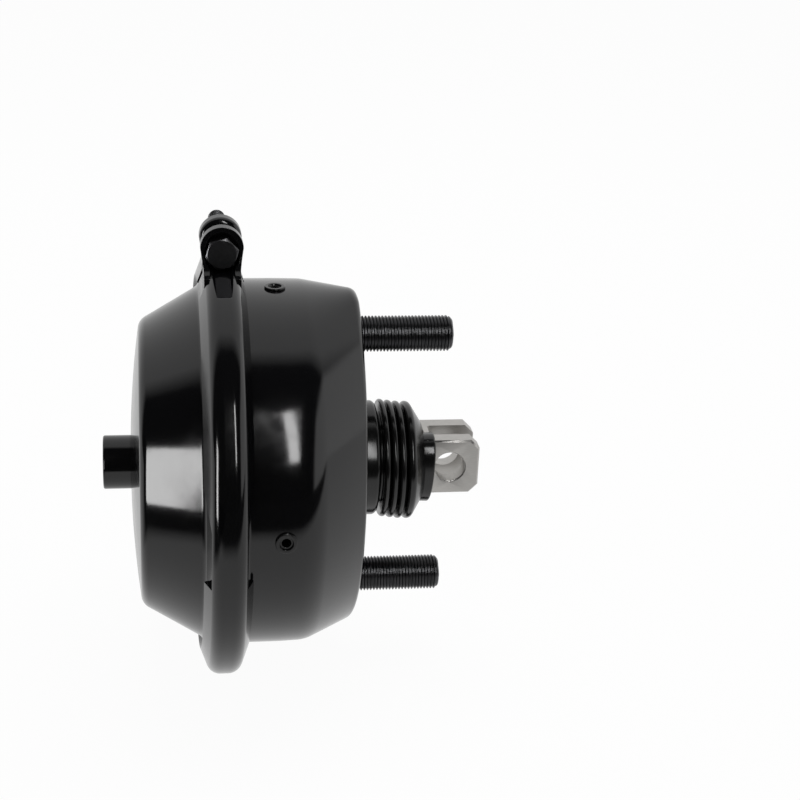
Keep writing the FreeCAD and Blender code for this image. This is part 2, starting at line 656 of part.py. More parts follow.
def clamp_bolt():
    seat_y = -CLAMP_GAP / 2 - CLAMP_WALL
    head = hexagon(HEX_M8, BOLT_HEAD_HEIGHT, V(CLAMP_X, seat_y, BOLT_Z), V(0, -1, 0), HEX_TURN)
    crown = Part.makeCone(HEX_M8 / 2 + BOLT_HEAD_HEIGHT / 2, HEX_M8 / 2 - HEX_BEVEL, BOLT_HEAD_HEIGHT,
                          V(CLAMP_X, seat_y, BOLT_Z), V(0, -1, 0))
    head = head.common(crown)
    shank = Part.makeCylinder(BOLT_R, BOLT_LENGTH, V(CLAMP_X, seat_y, BOLT_Z), Y_AXIS)
    tip = [e for e in shank.Edges if abs(e.CenterOfMass.y - seat_y - BOLT_LENGTH) < 0.01]
    shank = shank.makeChamfer(BOLT_CHAMFER, tip)
    return head.fuse(shank).removeSplitter()


def clamp_nut():
    seat_y = CLAMP_GAP / 2 + CLAMP_WALL
    nut = hexagon(HEX_M8, NUT_HEIGHT, V(CLAMP_X, seat_y, BOLT_Z), Y_AXIS, HEX_TURN)
    cone = Part.makeCone(HEX_M8 / 2 + NUT_HEIGHT / 2, HEX_M8 / 2 - HEX_BEVEL, NUT_HEIGHT,
                         V(CLAMP_X, seat_y, BOLT_Z), Y_AXIS)
    nut = nut.common(cone)
    return nut.cut(Part.makeCylinder(BOLT_R + NUT_FIT, NUT_HEIGHT, V(CLAMP_X, seat_y, BOLT_Z), Y_AXIS))


def bellows():
    """Folded rubber boot from the hole in the mounting face to the clevis shank."""
    root_x = -HOUSING_WALL - CLEARANCE
    cuff_x = CLEARANCE - BOOT_SEAT_DEPTH
    hole_r = BOOT_HOLE_R - CLEARANCE
    lip = BELLOWS_WALL
    points = [vec(root_x - lip, BELLOWS_BORE_R), vec(root_x - lip, BELLOWS_ROOT_R),
              vec(root_x, BELLOWS_ROOT_R), vec(root_x, hole_r), vec(cuff_x, hole_r),
              vec(cuff_x, BELLOWS_CUFF_R), vec(BELLOWS_CUFF_END_X, BELLOWS_CUFF_R)]
    radii = [0, BELLOWS_EDGE, BELLOWS_EDGE, BELLOWS_EDGE, BELLOWS_EDGE, BELLOWS_EDGE, BELLOWS_CUFF_BEND]
    gap = BELLOWS_PITCH - BELLOWS_CREST_WIDTH
    x = BELLOWS_CUFF_END_X
    for i in range(BELLOWS_FOLDS + 1):
        width = BELLOWS_CREST_WIDTH if i < BELLOWS_FOLDS else BELLOWS_LAST_WIDTH
        points += [vec(x, BELLOWS_VALLEY_R), vec(x + gap, BELLOWS_VALLEY_R),
                   vec(x + gap, BELLOWS_CREST_R), vec(x + gap + width, BELLOWS_CREST_R)]
        radii += [0, 0, width * 0.48, width * 0.48]
        x += gap + width
    neck_x = BELLOWS_END_X - BELLOWS_NECK_LENGTH
    neck_bore = CLEVIS_SHANK_R + CLEARANCE
    points += [vec(neck_x, BELLOWS_NECK_R + BELLOWS_SHOULDER), vec(neck_x, BELLOWS_NECK_R),
               vec(BELLOWS_END_X, BELLOWS_NECK_R), vec(BELLOWS_END_X, neck_bore),
               vec(neck_x + BELLOWS_EDGE, neck_bore), vec(x - BELLOWS_WALL, BELLOWS_BORE_R)]
    radii += [BELLOWS_WALL] + [BELLOWS_EDGE] * 5
    return revolve(closed_face(points, radii))


def write(name, shape):
    solid = shape
    if shape.ShapeType != "Solid" and len(shape.Solids) == 1:
        solid = shape.Solids[0]
    solid.exportStep("parts/" + name + ".step")
    print(name, solid.isValid(), len(shape.Solids), round(solid.Volume), len(solid.Faces))


os.makedirs("parts", exist_ok=True)
write("pressure_housing", pressure_housing())
write("inlet_boss", inlet_boss())
write("non_pressure_housing", non_pressure_housing())
write("diaphragm", diaphragm())
write("push_plate", push_plate())
write("rod_foot", rod_foot())
write("push_rod", push_rod())
write("return_spring", return_spring())
write("clevis", clevis())
write("stud_plate", stud_plate())
write("mounting_stud_upper", mounting_stud(1))
write("mounting_stud_lower", mounting_stud(-1))
write("spring_seat", spring_seat())
write("bellows", bellows())
write("clamp_ring", clamp_ring())
write("clamp_bolt", clamp_bolt())
write("clamp_nut", clamp_nut())
for number in range(PLUG_COUNT):
    write("breather_plug_%d" % (number + 1), breather_plug(number))
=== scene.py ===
from math import atan2, cos, degrees, exp, hypot, pi, radians, sin, sqrt, tan
import bpy
from mathutils import Matrix, Vector


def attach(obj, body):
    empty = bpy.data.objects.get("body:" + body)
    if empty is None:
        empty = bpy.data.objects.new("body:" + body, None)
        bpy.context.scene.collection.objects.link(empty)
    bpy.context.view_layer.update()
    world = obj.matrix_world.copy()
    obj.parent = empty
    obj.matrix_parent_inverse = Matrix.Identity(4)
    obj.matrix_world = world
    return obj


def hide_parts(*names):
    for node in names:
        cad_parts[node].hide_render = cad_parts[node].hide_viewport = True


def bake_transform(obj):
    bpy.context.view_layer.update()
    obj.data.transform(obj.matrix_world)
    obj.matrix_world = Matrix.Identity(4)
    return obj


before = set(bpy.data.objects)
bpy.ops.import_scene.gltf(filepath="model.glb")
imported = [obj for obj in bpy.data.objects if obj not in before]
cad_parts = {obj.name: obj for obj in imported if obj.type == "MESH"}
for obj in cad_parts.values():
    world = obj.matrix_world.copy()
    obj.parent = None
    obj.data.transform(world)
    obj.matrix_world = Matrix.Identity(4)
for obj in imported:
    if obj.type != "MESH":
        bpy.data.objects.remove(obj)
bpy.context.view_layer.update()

bpy.ops.object.select_all(action="DESELECT")

# Floor: a pale table that runs on behind the chamber. It keeps the chamber's
# shadow, and the gloss paint mirrors it pale behind the chamber and dark in front.

MM = 0.001
FLOOR_Z = -0.0963
FLOOR_SIZE = 9.0
TABLE_FRONT_Y = -0.38
TABLE_LEFT_X = -0.27
TABLE_BACK_Y = 0.0
MIRRORED_DARK = 0.03
MIRRORED_PALE = 0.8
PAPER_TONE = 0.80
WHITE_SHARE = 0.96


def new_material(name):
    material = bpy.data.materials.new(name)
    material.use_nodes = True
    return material, material.node_tree.nodes, material.node_tree.links


def ramp(n, k, value, start, end, low=0.0, high=1.0):
    """Node that turns a value from start to end into one from low to high."""
    step = n.new("ShaderNodeMapRange")
    for socket, number in zip(("From Min", "From Max", "To Min", "To Max"), (start, end, low, high)):
        step.inputs[socket].default_value = number
    k.new(value, step.inputs["Value"])
    return step.outputs["Result"]


def math_node(n, k, how, one, two):
    """Node that works out one value from two. The second may be a plain number."""
    step = n.new("ShaderNodeMath")
    step.operation = how
    k.new(one, step.inputs[0])
    if isinstance(two, float):
        step.inputs[1].default_value = two
    else:
        k.new(two, step.inputs[1])
    return step.outputs[0]


bpy.ops.mesh.primitive_plane_add(size=FLOOR_SIZE, location=(0, 0, FLOOR_Z))
floor = bpy.context.object
floor.name = "studio_floor"
floor_material, n, k = new_material("pale floor")
n.clear()
seen = n.new("ShaderNodeLightPath")
table_place = n.new("ShaderNodeTexCoord")
table_split = n.new("ShaderNodeSeparateXYZ")
k.new(table_place.outputs["Object"], table_split.inputs[0])
table_depth = ramp(n, k, table_split.outputs["Y"], TABLE_FRONT_Y, TABLE_FRONT_Y + 0.11,
                   MIRRORED_DARK, MIRRORED_PALE)
table_side = ramp(n, k, table_split.outputs["X"], TABLE_LEFT_X, TABLE_LEFT_X + 0.06, MIRRORED_DARK)
table_back = ramp(n, k, table_split.outputs["Y"], TABLE_BACK_Y - 0.10, TABLE_BACK_Y)
table_edge = math_node(n, k, "MAXIMUM", table_side, table_back)
paper = n.new("ShaderNodeBsdfDiffuse")
paper.inputs["Color"].default_value = (PAPER_TONE, PAPER_TONE, PAPER_TONE, 1)
mirrored_table = n.new("ShaderNodeEmission")
k.new(math_node(n, k, "MULTIPLY", table_depth, table_edge), mirrored_table.inputs["Strength"])
bare_white = n.new("ShaderNodeEmission")
bare_white.inputs["Strength"].default_value = 1.0
see_through = math_node(n, k, "MAXIMUM", seen.outputs["Is Camera Ray"],
                        seen.outputs["Is Transmission Ray"])
camera_mix = n.new("ShaderNodeMixShader")
k.new(math_node(n, k, "MULTIPLY", see_through, WHITE_SHARE), camera_mix.inputs[0])
k.new(paper.outputs[0], camera_mix.inputs[1])
k.new(bare_white.outputs[0], camera_mix.inputs[2])
glossy_mix = n.new("ShaderNodeMixShader")
k.new(seen.outputs["Is Glossy Ray"], glossy_mix.inputs[0])
k.new(camera_mix.outputs[0], glossy_mix.inputs[1])
k.new(mirrored_table.outputs[0], glossy_mix.inputs[2])
surface = n.new("ShaderNodeOutputMaterial")
k.new(glossy_mix.outputs[0], surface.inputs["Surface"])
floor.data.materials.append(floor_material)
floor.select_set(False)

# Pressure housing: a domed steel pressing, drawn in one piece and painted gloss
# black. Its edge leans out into the V flange that the clamp ring holds.

CLAMP_X = -60.0
CLAMP_R = 95.3
CLAMP_WALL = 2.5
CLAMP_WEB_HALF = 5.9
V_LEAN = tan(radians(20.9))
V_COS = cos(radians(20.9))
V_SIN = sin(radians(20.9))
HOUSING_WALL = 3.0
FLANGE_PLAY = 0.1
FLANGE_R = 91.0
CAP_FACE_X = -99.7
CAP_CORNER = (-95.4, 63.4)
CAP_SLOPE = tan(radians(30.5))
CAP_DOME_SHARE = 0.87
TURNS = 192


def round_corners(points, radii, per_turn=64, steps=0):
    """The same line of places with its inner corners rounded, each arc as short runs."""
    line = [Vector(points[0])]
    for i in range(1, len(points) - 1):
        corner = Vector(points[i])
        if radii[i - 1] <= 0:
            line.append(corner)
            continue
        back = (Vector(points[i - 1]) - corner).normalized()
        ahead = (Vector(points[i + 1]) - corner).normalized()
        half = back.angle(ahead) / 2
        centre = corner + (back + ahead).normalized() * (radii[i - 1] / sin(half))
        first = corner + back * (radii[i - 1] / tan(half)) - centre
        last = corner + ahead * (radii[i - 1] / tan(half)) - centre
        bend = atan2(first.x * last.y - first.y * last.x, first.dot(last))
        runs = steps or max(2, round(abs(bend) / (2 * pi) * per_turn))
        for s in range(runs + 1):
            a = bend * s / runs
            line.append(centre + Vector((first.x * cos(a) - first.y * sin(a),
                                         first.x * sin(a) + first.y * cos(a))))
    line.append(Vector(points[-1]))
    return line


def draw(name, places, close=False):
    """A line drawn by pulling one point from place to place, in mm. It stays in edit mode."""
    bpy.ops.object.select_all(action="DESELECT")
    bpy.ops.mesh.primitive_plane_add(size=MM, location=(0, 0, 0))
    bpy.context.object.name = name
    bpy.ops.object.mode_set(mode="EDIT")
    bpy.ops.mesh.select_all(action="SELECT")
    bpy.ops.mesh.merge(type="CENTER")
    here = Vector((0, 0, 0))
    for i, place in enumerate(list(places) + ([places[0]] if close else [])):
        step = (Vector(place) - here) * MM
        if i == 0:
            bpy.ops.transform.translate(value=step)
        else:
            bpy.ops.mesh.extrude_vertices_move(TRANSFORM_OT_translate={"value": step})
        here = Vector(place)
    bpy.ops.mesh.select_all(action="SELECT")
    if close:
        bpy.ops.mesh.remove_doubles(threshold=0.0000005)
    return bpy.context.object


def finish_shape(piece, angle=35):
    """Closes seams and poles, turns the faces outwards and shades the round parts."""
    bpy.ops.mesh.select_all(action="SELECT")
    bpy.ops.mesh.remove_doubles(threshold=0.000001)
    bpy.ops.mesh.normals_make_consistent(inside=False)
    bpy.ops.object.mode_set(mode="OBJECT")
    bpy.ops.object.shade_smooth_by_angle(angle=radians(angle))
    piece.select_set(False)


def turned(name, line, steps=TURNS, close=False, angle=35):
    """A piece turned round the push rod's axis from a line of (x, radius) places, in mm."""
    piece = draw(name, [(p[0], 0, p[1]) for p in line], close)
    bpy.ops.mesh.spin(steps=steps, angle=2 * pi, center=(0, 0, 0), axis=(1, 0, 0))
    finish_shape(piece, angle)
    return piece


def pick(piece):
    """Makes one piece the active and only selected one."""
    bpy.ops.object.select_all(action="DESELECT")
    bpy.context.view_layer.objects.active = piece
    piece.select_set(True)


def shade(piece, angle):
    pick(piece)
    bpy.ops.object.shade_smooth_by_angle(angle=radians(angle))
    piece.select_set(False)


def add_wall(piece, thickness):
    """Gives a pressed skin its sheet thickness, on the inside."""
    pick(piece)
    wall = piece.modifiers.new("sheet", "SOLIDIFY")
    wall.thickness = thickness * MM
    wall.offset = -1
    wall.use_even_offset = True
    bpy.ops.object.modifier_apply(modifier=wall.name)
    shade(piece, 35)


def flange_x(radius):
    """Outer face of a housing flange, measured from the clamp's middle, at a radius."""
    clamp_inside = CLAMP_WEB_HALF - CLAMP_WALL * V_COS
    return clamp_inside + (CLAMP_R - CLAMP_WALL * V_SIN - radius) * V_LEAN - FLANGE_PLAY / V_COS


def group_socket(group, name, in_out, value=None):
    socket = group.interface.new_socket(name=name, in_out=in_out, socket_type="NodeSocketFloat")
    if value is not None:
        socket.default_value = value


def surface_marks():
    """Group that gives handling marks, dust specks and the paint's fine ripple."""
    group = bpy.data.node_groups.new("surface marks", "ShaderNodeTree")
    group_socket(group, "Ripple size", "INPUT", 320.0)
    group_socket(group, "Mark size", "INPUT", 60.0)
    group_socket(group, "Marks", "OUTPUT")
    group_socket(group, "Dust", "OUTPUT")
    group_socket(group, "Ripple", "OUTPUT")
    n, k = group.nodes, group.links
    given = n.new("NodeGroupInput")
    result = n.new("NodeGroupOutput")
    place = n.new("ShaderNodeTexCoord")
    smear = n.new("ShaderNodeTexNoise")
    smear.inputs["Detail"].default_value = 5.0
    smear.inputs["Roughness"].default_value = 0.65
    k.new(place.outputs["Object"], smear.inputs["Vector"])
    k.new(given.outputs["Mark size"], smear.inputs["Scale"])
    k.new(ramp(n, k, smear.outputs["Fac"], 0.45, 0.75), result.inputs["Marks"])
    specks = n.new("ShaderNodeTexVoronoi")
    specks.inputs["Scale"].default_value = 420.0
    k.new(place.outputs["Object"], specks.inputs["Vector"])
    k.new(ramp(n, k, specks.outputs["Distance"], 0.10, 0.02), result.inputs["Dust"])
    peel = n.new("ShaderNodeTexNoise")
    peel.inputs["Detail"].default_value = 2.0
    k.new(place.outputs["Object"], peel.inputs["Vector"])
    k.new(given.outputs["Ripple size"], peel.inputs["Scale"])
    k.new(peel.outputs["Fac"], result.inputs["Ripple"])
    return group


marks_group = surface_marks()
DUST_TONE = (0.09, 0.09, 0.09)


def coated(name, colour, rough, ripple_size, ripple_height, dust_share):
    """Black paint or rubber: a dark body colour under marks, specks and a fine ripple."""
    material, n, k = new_material(name)
    shader = n["Principled BSDF"]
    marks = n.new("ShaderNodeGroup")
    marks.node_tree = marks_group
    marks.inputs["Ripple size"].default_value = ripple_size
    marks.inputs["Mark size"].default_value = 60.0
    mix = n.new("ShaderNodeMix")
    mix.data_type = "RGBA"
    mix.inputs[6].default_value = (*colour, 1)
    mix.inputs[7].default_value = (*DUST_TONE, 1)
    k.new(math_node(n, k, "MULTIPLY", marks.outputs["Dust"], dust_share), mix.inputs[0])
    k.new(mix.outputs[2], shader.inputs["Base Color"])
    k.new(ramp(n, k, marks.outputs["Marks"], 0.0, 1.0, rough, rough + 0.07), shader.inputs["Roughness"])
    bump = n.new("ShaderNodeBump")
    bump.inputs["Strength"].default_value = 0.35
    bump.inputs["Distance"].default_value = ripple_height
    k.new(marks.outputs["Ripple"], bump.inputs["Height"])
    k.new(bump.outputs["Normal"], shader.inputs["Normal"])
    return material


gloss_black = coated("gloss black paint", (0.003, 0.003, 0.0035), 0.10, 220.0, 0.00003, 0.10)


def dress(piece, material, slot_name, body, *nodes_replaced):
    """Gives a finished piece its material and its body, and hides the CAD pieces it stands for. slot_name is
    not used.
    """
    piece.data.materials.clear()
    piece.data.materials.append(material)
    if nodes_replaced:
        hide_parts(*nodes_replaced)
    if body:
        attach(piece, body)


edge = (CLAMP_X - flange_x(FLANGE_R), FLANGE_R)
knee_rise = (edge[0] - CAP_CORNER[0] - FLANGE_R * V_LEAN) * CAP_SLOPE
knee_r = (knee_rise + CAP_CORNER[1]) / (1 - V_LEAN * CAP_SLOPE)
knee = (edge[0] - (FLANGE_R - knee_r) * V_LEAN, knee_r)
dome_half = CAP_CORNER[1] / 2
dome_r = CAP_DOME_SHARE * dome_half / tan(atan2(CAP_CORNER[0] - CAP_FACE_X, dome_half) / 2)
cap_line = round_corners([edge, knee, CAP_CORNER, (CAP_FACE_X, dome_half), (CAP_FACE_X, 0)],
                         [5.0, 6.5, dome_r], 360)

cap = turned("pressure_housing_skin", cap_line)
add_wall(cap, HOUSING_WALL)
dress(cap, gloss_black, "housing_paint", "chamber", "pressure_housing")

# Air inlet boss: turned steel, welded over the hole in the middle of the dome
# and painted with it. The bore has the air line fitting's thread.

PORT_END_X = -111.9
PORT_R = 12.0
PORT_BORE_R = 7.25
PORT_SPIGOT_R = 9.5
PORT_INNER_X = -96.7
PORT_THREAD_R = 7.9
PORT_CHAMFER = 1.2
PORT_PITCH = 1.5
WELD_DEPTH = 0.25


def screw_thread(name, start_x, end_x, root_r, crest_r, pitch, steps=48):
    """A thread's flanks, drawn once along the bar and turned through one pitch. Its ends stay open."""
    rows = int(round((end_x - start_x) / pitch)) + 4
    line = []
    for i in range(rows):
        x = start_x + (i - 2) * pitch
        line += [(x - 0.09 * pitch, 0, root_r), (x + 0.09 * pitch, 0, root_r),
                 (x + 0.43 * pitch, 0, crest_r), (x + 0.57 * pitch, 0, crest_r)]
    piece = draw(name, line)
    bpy.ops.object.mode_set(mode="OBJECT")
    helix = piece.modifiers.new("helix", "SCREW")
    helix.axis = "X"
    helix.angle = 2 * pi
    helix.screw_offset = pitch * MM
    helix.steps = steps
    helix.render_steps = steps
    bpy.ops.object.modifier_apply(modifier=helix.name)
    bpy.ops.object.mode_set(mode="EDIT")
    bpy.ops.mesh.select_all(action="SELECT")
    bpy.ops.mesh.remove_doubles(threshold=0.000001)
    return piece


def trim(at, keep_above, fill):
    """Cuts the piece in edit mode by a plane across the bar."""
    bpy.ops.mesh.select_all(action="SELECT")
    bpy.ops.mesh.bisect(plane_co=(at * MM, 0, 0), plane_no=(1, 0, 0), use_fill=fill,
                        clear_inner=keep_above, clear_outer=not keep_above)


def join_into(piece, *others):
    """Makes one piece of several that are fixed together."""
    pick(piece)
    for other in others:
        other.select_set(True)
    bpy.ops.object.join()
    piece.select_set(False)


boss_line = round_corners([(PORT_INNER_X, PORT_THREAD_R), (PORT_INNER_X, PORT_SPIGOT_R),
                           (CAP_FACE_X + WELD_DEPTH, PORT_SPIGOT_R), (CAP_FACE_X + WELD_DEPTH, PORT_R),
                           (PORT_END_X, PORT_R), (PORT_END_X, PORT_BORE_R + PORT_CHAMFER),
                           (PORT_END_X + PORT_CHAMFER, PORT_THREAD_R), (PORT_INNER_X, PORT_THREAD_R)],
                          [0, 0, 0.25, 0.9, 0.2, 0])[:-1]
boss = turned("inlet_boss_turned", boss_line, 128, close=True)
port_thread = screw_thread("port_thread", PORT_END_X + 0.6, PORT_INNER_X - 0.2, PORT_THREAD_R + 0.05,
                           PORT_BORE_R, PORT_PITCH)
trim(PORT_END_X + 0.6, True, False)
trim(PORT_INNER_X - 0.2, False, False)
bpy.ops.mesh.select_all(action="SELECT")
bpy.ops.mesh.normals_make_consistent(inside=True)
bpy.ops.object.mode_set(mode="OBJECT")
bpy.ops.object.shade_smooth_by_angle(angle=radians(25))
join_into(boss, port_thread)
dress(boss, gloss_black, "housing_paint", "chamber", "inlet_boss")

# Inside the chamber: rubber diaphragm, dished push plate, welded rod foot, push
# rod, conical return spring, spring seat and the plate that carries the studs.


def steel(name, colour, rough, metallic, grain_size, grain_depth, stretch):
    """Bare or plated steel: fine grain in its tone, its gloss and its surface."""
    material, n, k = new_material(name)
    shader = n["Principled BSDF"]
    place = n.new("ShaderNodeTexCoord")
    along = n.new("ShaderNodeMapping")
    along.inputs["Scale"].default_value = stretch
    k.new(place.outputs["Object"], along.inputs["Vector"])
    grain = n.new("ShaderNodeTexNoise")
    grain.inputs["Scale"].default_value = grain_size
    grain.inputs["Detail"].default_value = 4.0
    k.new(along.outputs["Vector"], grain.inputs["Vector"])
    tone = n.new("ShaderNodeMix")
    tone.data_type = "RGBA"
    tone.inputs[6].default_value = (*[c * 0.72 for c in colour], 1)
    tone.inputs[7].default_value = (*colour, 1)
    k.new(grain.outputs["Fac"], tone.inputs[0])
    k.new(tone.outputs[2], shader.inputs["Base Color"])
    k.new(ramp(n, k, grain.outputs["Fac"], 0.0, 1.0, rough - 0.06, rough + 0.10), shader.inputs["Roughness"])
    bump = n.new("ShaderNodeBump")
    bump.inputs["Strength"].default_value = 0.3
    bump.inputs["Distance"].default_value = grain_depth
    k.new(grain.outputs["Fac"], bump.inputs["Height"])
    k.new(bump.outputs["Normal"], shader.inputs["Normal"])
    shader.inputs["Metallic"].default_value = metallic
    return material


plain_steel = steel("plain steel", (0.42, 0.42, 0.43), 0.4, 1.0, 500.0, 0.00003, (1, 1, 1))
spring_steel = steel("spring steel", (0.10, 0.10, 0.105), 0.38, 0.9, 600.0, 0.00002, (1, 1, 1))
rubber = coated("black rubber", (0.006, 0.006, 0.006), 0.17, 700.0, 0.00002, 0.20)


def shade_evenly(piece, angle):
    """Shades the round parts, with the large flat faces kept flat."""
    shade(piece, angle)
    pick(piece)
    even_shade = piece.modifiers.new("even shade", "WEIGHTED_NORMAL")
    even_shade.keep_sharp = True
    bpy.ops.object.modifier_apply(modifier=even_shade.name)
    piece.select_set(False)


def welded_copy(node, angle):
    """A CAD piece's own mesh with its seams welded and its round parts shaded."""
    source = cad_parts[node]
    piece = bpy.data.objects.new(node + "_finished", source.data.copy())
    bpy.context.scene.collection.objects.link(piece)
    pick(piece)
    bpy.ops.object.mode_set(mode="EDIT")
    bpy.ops.mesh.select_all(action="SELECT")
    bpy.ops.mesh.remove_doubles(threshold=0.000002)
    bpy.ops.object.mode_set(mode="OBJECT")
    shade_evenly(piece, angle)
    return piece


inner_finishes = {"push_plate": (plain_steel, "plain_steel", "plate"),
                  "rod_foot": (plain_steel, "plain_steel", "rod"),
                  "push_rod": (plain_steel, "machined_steel", "rod"),
                  "spring_seat": (plain_steel, "plain_steel", "chamber"),
                  "stud_plate": (plain_steel, "plain_steel", "chamber")}
for node, (material, slot_name, body) in inner_finishes.items():
    dress(welded_copy(node, 30), material, slot_name, body, node)
membrane = welded_copy("diaphragm", 30)
dress(membrane, rubber, "diaphragm_rubber", None, "diaphragm")
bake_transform(membrane)
coil = welded_copy("return_spring", 50)
dress(coil, spring_steel, "spring_steel", None, "return_spring")
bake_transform(coil)

# Mounting studs: M16 x 1.5, cut threads along all that shows, blackened steel.
# A plain neck is pressed into the housing and a round head holds it inside.

STUD_HALF_SPACING = 60.325
STUD_R = 8.0
STUD_LENGTH = 42.5
STUD_TIP = 1.9
STUD_START_X = 0.4
STUD_PITCH = 1.5
STUD_THREAD_DEPTH = 0.92
STUD_NECK_R = 8.25
STUD_HEAD_R = 11.5
STUD_HEAD_X = -8.0
STUD_BACK_X = -14.0

blackened_steel = steel("blackened steel", (0.10, 0.10, 0.104), 0.30, 0.95, 900.0, 0.00002, (1, 1, 1))


def narrow_tip(piece, tip_x, run, full_r, end_r):
    """Rounds a thread's last turns down towards the bar's end, as a turned tip has it."""
    for v in piece.data.vertices:
        depth = v.co.x / MM - tip_x + run
        r = hypot(v.co.y, v.co.z)
        if depth <= 0 or r < 0.0001:
            continue
        share = min(depth / run, 1.0)
        full = full_r - (full_r - end_r) * (0.35 * share + 0.65 * share * share)
        if r > full * MM:
            v.co.y *= full * MM / r
            v.co.z *= full * MM / r


stud = screw_thread("stud", STUD_START_X, STUD_LENGTH, STUD_R - STUD_THREAD_DEPTH, STUD_R, STUD_PITCH, 64)
trim(STUD_START_X, True, True)
trim(STUD_LENGTH, False, True)
finish_shape(stud, 30)
narrow_tip(stud, STUD_LENGTH, STUD_TIP, STUD_R, STUD_R - 1.5)
neck_line = round_corners([(STUD_START_X + 0.2, 0), (STUD_START_X + 0.2, STUD_NECK_R),
                           (STUD_HEAD_X, STUD_NECK_R), (STUD_HEAD_X, STUD_HEAD_R),
                           (STUD_BACK_X, STUD_HEAD_R), (STUD_BACK_X, 0)],
                          [0.2, 0, 0.4, 0.8])
stud_neck = turned("stud_neck", neck_line, 64)
join_into(stud, stud_neck)
studs = [stud, stud.copy()]
studs[1].data = stud.data.copy()
bpy.context.scene.collection.objects.link(studs[1])
for stud, side, name in ((studs[0], 1, "upper"), (studs[1], -1, "lower")):
    stud.name = "mounting_stud_" + name + "_threaded"
    stud.data.transform(Matrix.Translation((0, 0, side * STUD_HALF_SPACING * MM)))
    dress(stud, blackened_steel, "zinc_plating", "chamber", "mounting_stud_" + name)

# Non-pressure housing: a deep steel pressing, gloss black. It is round at the
# clamp and narrows through a straight taper to its oval mounting face.

BODY_R = 81.9
TAPER_X = -24.0
FRONT_HALF_HEIGHT = 80.5
FRONT_HALF_WIDTH = 56.0
FRONT_TIP_R = 15.0
FRONT_CORNER = 4.5
TAPER_CREASE = 20.0
BOOT_SEAT_R = 27.25
BOOT_HOLE_R = 20.0
BOOT_SEAT_DEPTH = 0.4
VENT_X = -36.6
BULGE_X = -38.2
BULGE_END_X = -32.4
BULGE_R = 65.0
FULL_TAPER = 24.0

front_rise = FRONT_HALF_HEIGHT - FRONT_TIP_R
side_r = front_rise ** 2 + FRONT_HALF_WIDTH ** 2 - FRONT_TIP_R ** 2
side_r /= 2 * (FRONT_HALF_WIDTH - FRONT_TIP_R)
side_inset = side_r - FRONT_HALF_WIDTH
join_sine = sin(atan2(front_rise, side_inset))
tube_x = [-42.0, -39.28, -38.0, VENT_X, -35.2, -33.92]
rear_line = round_corners([(CLAMP_X + flange_x(FLANGE_R), FLANGE_R),
                           (CLAMP_X + flange_x(BODY_R), BODY_R), (-45.0, BODY_R)], [1.5], steps=6)
rear_line.insert(-1, rear_line[-2] + Vector((0.4, 0)))


def front_outline(across, up):
    """Where the oval face's edge has the outward direction (across, up)."""
    if abs(up) <= join_sine:
        return (side_r * across - (side_inset if across > 0 else -side_inset), side_r * up)
    return (FRONT_TIP_R * across, FRONT_TIP_R * up + (front_rise if up > 0 else -front_rise))


def housing_line(i):
    """One lengthwise line of the housing's skin, at step i of the turn."""
    a = 2 * pi * i / TURNS
    across, up = sin(a), cos(a)
    y, z = front_outline(across, up)
    gap_y, gap_z = y - BODY_R * across, z - BODY_R * up
    inward = -(gap_y * across + gap_z * up)
    slide = gap_y * up - gap_z * across
    share = min(inward / FULL_TAPER, 1)
    line = [(p.x, p.y) for p in rear_line]
    line += [(x, BODY_R - share * max(x - BULGE_X, 0) ** 2 / (2 * BULGE_R)) for x in tube_x]
    lead = BULGE_END_X - BULGE_X
    lead_drop = share * lead ** 2 / (2 * BULGE_R)
    crease_drop = lead_drop + (TAPER_X - BULGE_END_X) * share * lead / BULGE_R
    taper = round_corners([(BULGE_END_X, -lead_drop), (TAPER_X, -crease_drop),
                           (0, -inward), (0, -inward - 8)], [TAPER_CREASE, FRONT_CORNER], steps=9)
    places = [(x, r * across, r * up) for x, r in line]
    for p in taper:
        moved = slide * min(max((p.x - TAPER_X) / -TAPER_X, 0), 1)
        r = BODY_R + p.y
        places.append((p.x, r * across + moved * up, r * up - moved * across))
    last = Vector(places[-1])
    seat = Vector((0, BOOT_SEAT_R * across, BOOT_SEAT_R * up))
    places += [tuple(last.lerp(seat, 0.5)), tuple(seat)]
    places.append((-BOOT_SEAT_DEPTH, BOOT_SEAT_R * across, BOOT_SEAT_R * up))
    places.append((-BOOT_SEAT_DEPTH, BOOT_HOLE_R * across, BOOT_HOLE_R * up))
    return places


def skin(name, corners, faces):
    """A piece made from its corners, in metres, and its faces. It is left picked."""
    mesh = bpy.data.meshes.new(name)
    mesh.from_pydata(corners, [], faces)
    piece = bpy.data.objects.new(name, mesh)
    bpy.context.scene.collection.objects.link(piece)
    pick(piece)
    return piece


housing_lines = [housing_line(i) for i in range(TURNS)]
rows = len(housing_lines[0])
corners = [[c * MM for c in place] for line in housing_lines for place in line]
faces = []
vent_row = len(rear_line) + tube_x.index(VENT_X)
for i in range(TURNS):
    ahead = (i + 1) % TURNS
    for j in range(rows - 1):
        at_vent = i % (TURNS // 4) in (0, TURNS // 4 - 1) and vent_row - 2 <= j < vent_row + 2
        if not at_vent:
            faces.append((i * rows + j, i * rows + j + 1, ahead * rows + j + 1, ahead * rows + j))
housing = skin("non_pressure_housing_skin", corners, faces)
add_wall(housing, HOUSING_WALL)
dress(housing, gloss_black, "housing_paint", "chamber", "non_pressure_housing")

# Clamp ring: one band of formed V section that holds both flanges. Its ends turn
# up into two dished ears, and its flanges are cut back at both sides to spring it.

